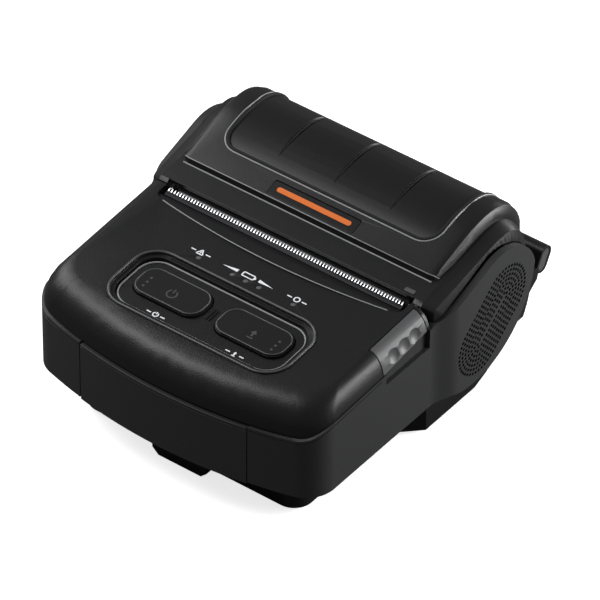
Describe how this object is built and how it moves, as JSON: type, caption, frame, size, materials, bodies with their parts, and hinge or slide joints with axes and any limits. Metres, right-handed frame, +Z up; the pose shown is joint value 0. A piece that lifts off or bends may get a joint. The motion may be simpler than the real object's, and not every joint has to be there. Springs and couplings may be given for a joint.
{
  "type": "portable label printer",
  "caption": "Mobile label printer: clamshell case with a control panel, a hinged paper cover over the roll, a release lever, a slide-in battery and a rear strap bar.",
  "frame": {"origin": "centre of the outline at the table, under the rubber feet", "axes": "+Z up, -Y towards the control panel and the battery's face, +X to the release lever's side"},
  "size_m": [0.104, 0.1194, 0.0593],
  "materials": {
    "black_case": "matte",
    "key_plastic": "satin",
    "dark_plastic": "satin",
    "grey_case": "matte",
    "lever_plastic": "satin",
    "pale_plastic": "satin",
    "light_lens": "polished",
    "steel": "brushed",
    "head_aluminium": "brushed",
    "brass": "polished",
    "rubber": "matte",
    "board": "satin",
    "jack_plastic": "satin"
  },
  "bodies": {
    "case": {"lower_case": "grey_case", "base_cover": "black_case", "rubber_feet": "rubber", "case_screws": "steel", "front_case": "black_case", "pod_rims": "dark_plastic", "key_mat": "rubber", "status_lights": "light_lens", "main_board": "board", "tear_bar": "steel", "chassis": "dark_plastic", "head_springs": "steel", "idler_pin": "steel", "feed_motor": "steel", "roll_well": "dark_plastic", "rear_shell": "black_case", "hinge_pin": "steel", "hinge_spring": "steel", "strap_bar": "black_case", "lever_spring": "steel", "battery_contacts": "brass", "latch_pin": "steel", "power_jack": "jack_plastic", "data_socket": "steel"},
    "power_key": {"power_button": "key_plastic"},
    "feed_key": {"feed_button": "key_plastic"},
    "head": {"print_head": "head_aluminium"},
    "cover": {"paper_cover": "black_case", "cover_panel": "dark_plastic", "cover_badge": "dark_plastic", "platen_bracket": "dark_plastic", "platen_bushes": "pale_plastic"},
    "platen": {"platen_roller": "rubber", "platen_shaft": "steel", "platen_gear": "pale_plastic"},
    "idler": {"idler_gear": "pale_plastic"},
    "pinion": {"motor_pinion": "brass"},
    "left_guide": {"guide_left": "pale_plastic"},
    "right_guide": {"guide_right": "pale_plastic"},
    "guide_gear": {"guide_pinion": "pale_plastic"},
    "lever": {"release_lever": "lever_plastic"},
    "latch": {"latch_rod": "steel", "latch_hooks": "steel"},
    "battery": {"battery_pack": "grey_case"},
    "battery_catch": {"battery_latch": "black_case"},
    "flap": {"port_flap": "rubber"}
  },
  "joints": [
    {"name": "power_press", "type": "slide", "parent": "case", "child": "power_key", "axis": [0, 0.0663, -0.9978], "range_m": [0, 0.0008], "stiffness_N_per_m": 900},
    {"name": "feed_press", "type": "slide", "parent": "case", "child": "feed_key", "axis": [0, 0.0663, -0.9978], "range_m": [0, 0.0008], "stiffness_N_per_m": 900},
    {"name": "head_tilt", "type": "hinge", "parent": "case", "child": "head", "pos_m": [0, -0.00175, 0.0384], "axis": [1, 0, 0], "range_deg": [0, 3], "stiffness_Nm_per_rad": 2},
    {"name": "cover_open", "type": "hinge", "parent": "case", "child": "cover", "pos_m": [0, 0.04525, 0.0425], "axis": [-1, 0, 0], "range_deg": [0, 95]},
    {"name": "platen_spin", "type": "hinge", "parent": "cover", "child": "platen", "pos_m": [0, 0.00415, 0.0439], "axis": [1, 0, 0], "continuous": true},
    {"name": "idler_spin", "type": "hinge", "parent": "case", "child": "idler", "pos_m": [-0.0461, 0.0024, 0.03142], "axis": [1, 0, 0], "continuous": true},
    {"name": "pinion_spin", "type": "hinge", "parent": "case", "child": "pinion", "pos_m": [-0.0461, -0.00848, 0.02635], "axis": [1, 0, 0], "continuous": true},
    {"name": "right_guide_slide", "type": "slide", "parent": "case", "child": "right_guide", "axis": [-1, 0, 0], "range_m": [0, 0.012]},
    {"name": "left_guide_slide", "type": "slide", "parent": "case", "child": "left_guide", "axis": [1, 0, 0], "range_m": [0, 0.012]},
    {"name": "guide_gear_spin", "type": "hinge", "parent": "case", "child": "guide_gear", "pos_m": [0, 0.02365, 0.0065], "axis": [0, 0, 1], "range_deg": [0, 232]},
    {"name": "lever_lift", "type": "slide", "parent": "case", "child": "lever", "axis": [0, 0, 1], "range_m": [0, 0.0036], "stiffness_N_per_m": 250, "deforming": ["lever_spring"]},
    {"name": "latch_turn", "type": "hinge", "parent": "case", "child": "latch", "pos_m": [0, -0.00225, 0.0335], "axis": [1, 0, 0], "range_deg": [0, 14.2]},
    {"name": "battery_slide", "type": "slide", "parent": "case", "child": "battery", "axis": [0, -1, 0], "range_m": [0, 0.052]},
    {"name": "battery_catch_press", "type": "hinge", "parent": "case", "child": "battery_catch", "pos_m": [0, -0.03975, 0.008], "axis": [-1, 0, 0], "range_deg": [0, 6], "stiffness_Nm_per_rad": 0.5},
    {"name": "flap_open", "type": "hinge", "parent": "case", "child": "flap", "pos_m": [-0.0495, -0.04475, 0.0245], "axis": [0, 0, 1], "range_deg": [0, 100]}
  ],
  "couplings": [
    {"joint": "idler_spin", "follows": "platen_spin", "ratio": -0.4},
    {"joint": "pinion_spin", "follows": "platen_spin", "ratio": 1.2},
    {"joint": "left_guide_slide", "follows": "right_guide_slide", "ratio": 1},
    {"joint": "guide_gear_spin", "follows": "right_guide_slide", "rad_per_m": 333.33},
    {"joint": "latch_turn", "follows": "lever_lift", "rad_per_m": 67.87}
  ]
}
